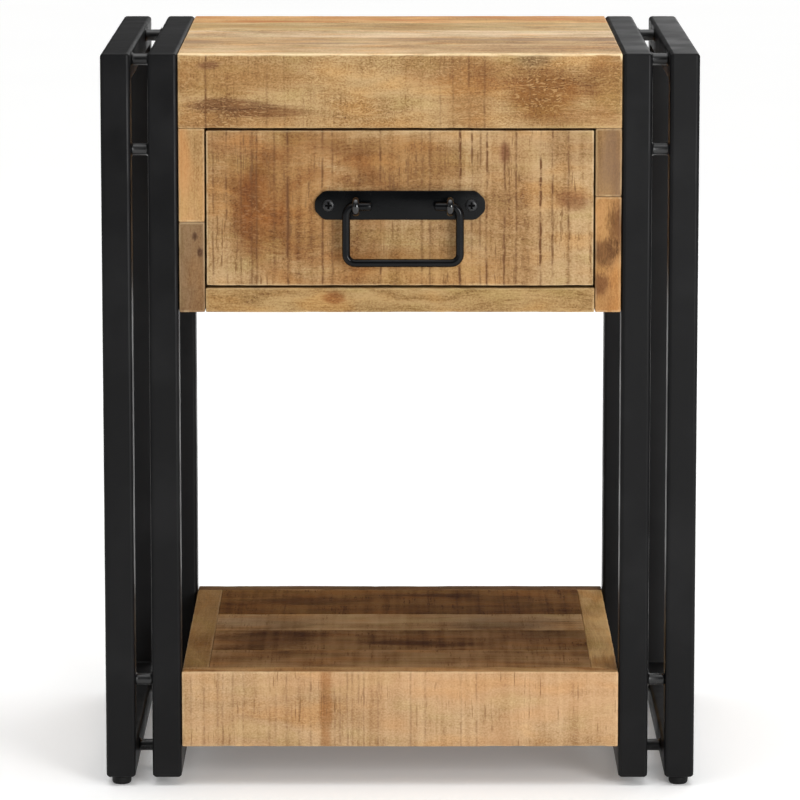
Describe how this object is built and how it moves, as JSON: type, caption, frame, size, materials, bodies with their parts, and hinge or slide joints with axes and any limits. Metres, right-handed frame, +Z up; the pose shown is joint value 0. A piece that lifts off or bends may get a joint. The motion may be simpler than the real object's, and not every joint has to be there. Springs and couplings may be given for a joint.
{
  "type": "side table with drawer",
  "caption": "Small rough-sawn wood side table with a drawer and a lower shelf, held between black square-tube side frames.",
  "frame": {"origin": "on the floor, at the middle of the whole table's footprint, handle included", "axes": "+Z up, the drawer front faces -Y, +X to the right of someone facing the drawer"},
  "size_m": [0.4, 0.3154, 0.5],
  "materials": {
    "frame_steel": "black powder coat, satin",
    "glide_plastic": "black moulded plastic",
    "top_wood": "rough-sawn tan planks, matt lacquer",
    "box_wood": "rough-sawn tan boards, matt lacquer",
    "shelf_wood": "rough-sawn tan and brown planks, matt lacquer",
    "drawer_front_wood": "rough-sawn front with upright saw marks, matt lacquer",
    "drawer_wood": "plain planed boards, unfinished",
    "handle_iron": "black lacquered iron, semi-gloss",
    "handle_screw": "blackened steel, worn"
  },
  "bodies": {
    "table": {"left_outer_front_post": "frame_steel", "left_outer_rear_post": "frame_steel", "left_outer_top_bar": "frame_steel", "left_outer_bottom_bar": "frame_steel", "left_inner_front_post": "frame_steel", "left_inner_rear_post": "frame_steel", "left_inner_top_bar": "frame_steel", "left_inner_bottom_bar": "frame_steel", "right_outer_front_post": "frame_steel", "right_outer_rear_post": "frame_steel", "right_outer_top_bar": "frame_steel", "right_outer_bottom_bar": "frame_steel", "right_inner_front_post": "frame_steel", "right_inner_rear_post": "frame_steel", "right_inner_top_bar": "frame_steel", "right_inner_bottom_bar": "frame_steel", "left_top_front_spacer": "frame_steel", "left_top_rear_spacer": "frame_steel", "left_front_upper_spacer": "frame_steel", "left_front_lower_spacer": "frame_steel", "left_rear_upper_spacer": "frame_steel", "left_rear_lower_spacer": "frame_steel", "left_bottom_front_spacer": "frame_steel", "left_bottom_rear_spacer": "frame_steel", "right_top_front_spacer": "frame_steel", "right_top_rear_spacer": "frame_steel", "right_front_upper_spacer": "frame_steel", "right_front_lower_spacer": "frame_steel", "right_rear_upper_spacer": "frame_steel", "right_rear_lower_spacer": "frame_steel", "right_bottom_front_spacer": "frame_steel", "right_bottom_rear_spacer": "frame_steel", "left_front_glide": "glide_plastic", "left_rear_glide": "glide_plastic", "right_front_glide": "glide_plastic", "right_rear_glide": "glide_plastic", "top_panel": "top_wood", "front_apron": "top_wood", "box_left_panel": "box_wood", "box_right_panel": "box_wood", "box_bottom_panel": "box_wood", "box_back_panel": "box_wood", "drawer_left_guide": "drawer_wood", "drawer_right_guide": "drawer_wood", "shelf_front_board": "shelf_wood", "shelf_back_board": "shelf_wood", "shelf_left_board": "shelf_wood", "shelf_right_board": "shelf_wood", "shelf_panel": "shelf_wood"},
    "drawer": {"drawer_front": "drawer_front_wood", "drawer_left_wall": "drawer_wood", "drawer_right_wall": "drawer_wood", "drawer_back_wall": "drawer_wood", "drawer_floor": "drawer_wood", "handle_plate": "handle_iron", "handle_left_eye": "handle_iron", "handle_right_eye": "handle_iron", "handle_left_screw": "handle_screw", "handle_right_screw": "handle_screw"},
    "bail": {"handle_bail": "handle_iron"}
  },
  "joints": [
    {"name": "drawer_slide", "type": "slide", "parent": "table", "child": "drawer", "axis": [0, -1, 0], "range_m": [0, 0.2]},
    {"name": "handle_pivot", "type": "hinge", "parent": "drawer", "child": "bail", "pos_m": [0.002, -0.1513, 0.3985], "axis": [-1, 0, 0], "range_deg": [-8, 172]}
  ]
}
